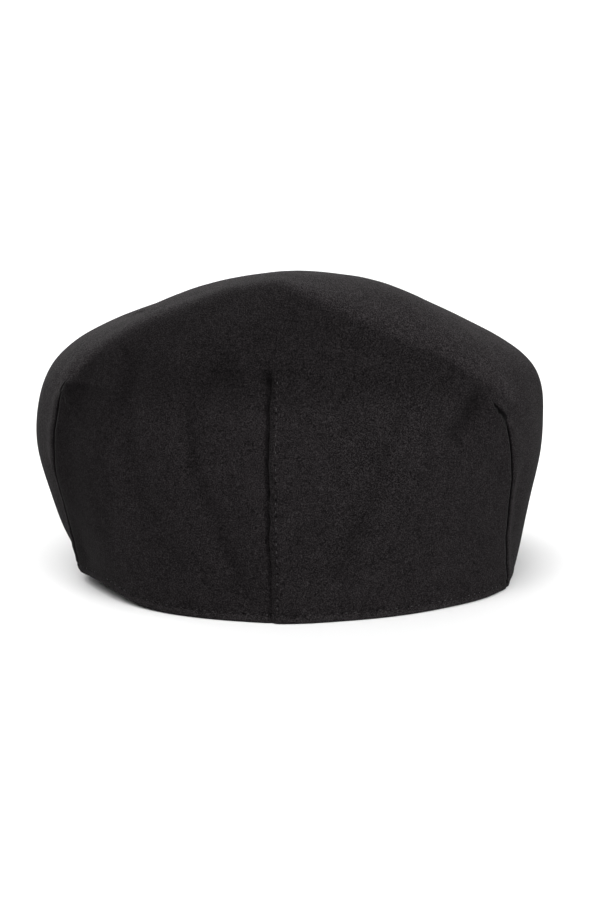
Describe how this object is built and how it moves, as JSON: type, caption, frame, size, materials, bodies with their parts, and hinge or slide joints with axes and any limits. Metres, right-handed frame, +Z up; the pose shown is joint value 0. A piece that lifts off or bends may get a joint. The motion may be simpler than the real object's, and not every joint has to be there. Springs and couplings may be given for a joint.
{
  "type": "duckbill cap",
  "caption": "Cloth duckbill cap: a one-piece crown darted at the back, drawn down over a short stiff curved peak, with a sweatband inside the head opening.",
  "frame": {"origin": "on the surface the cap stands on, under the middle of its bounding box", "axes": "+Z up, +Y from the back of the head towards the peak, +X towards the wearer's right side"},
  "size_m": [0.1916, 0.2626, 0.1194],
  "materials": {
    "crown_cloth": "matte black brushed cloth",
    "peak_cloth": "matte black brushed cloth over a stiff core",
    "band_cloth": "smooth black woven band"
  },
  "bodies": {
    "root": {"crown": "crown_cloth", "peak": "peak_cloth", "sweatband": "band_cloth"}
  },
  "joints": []
}
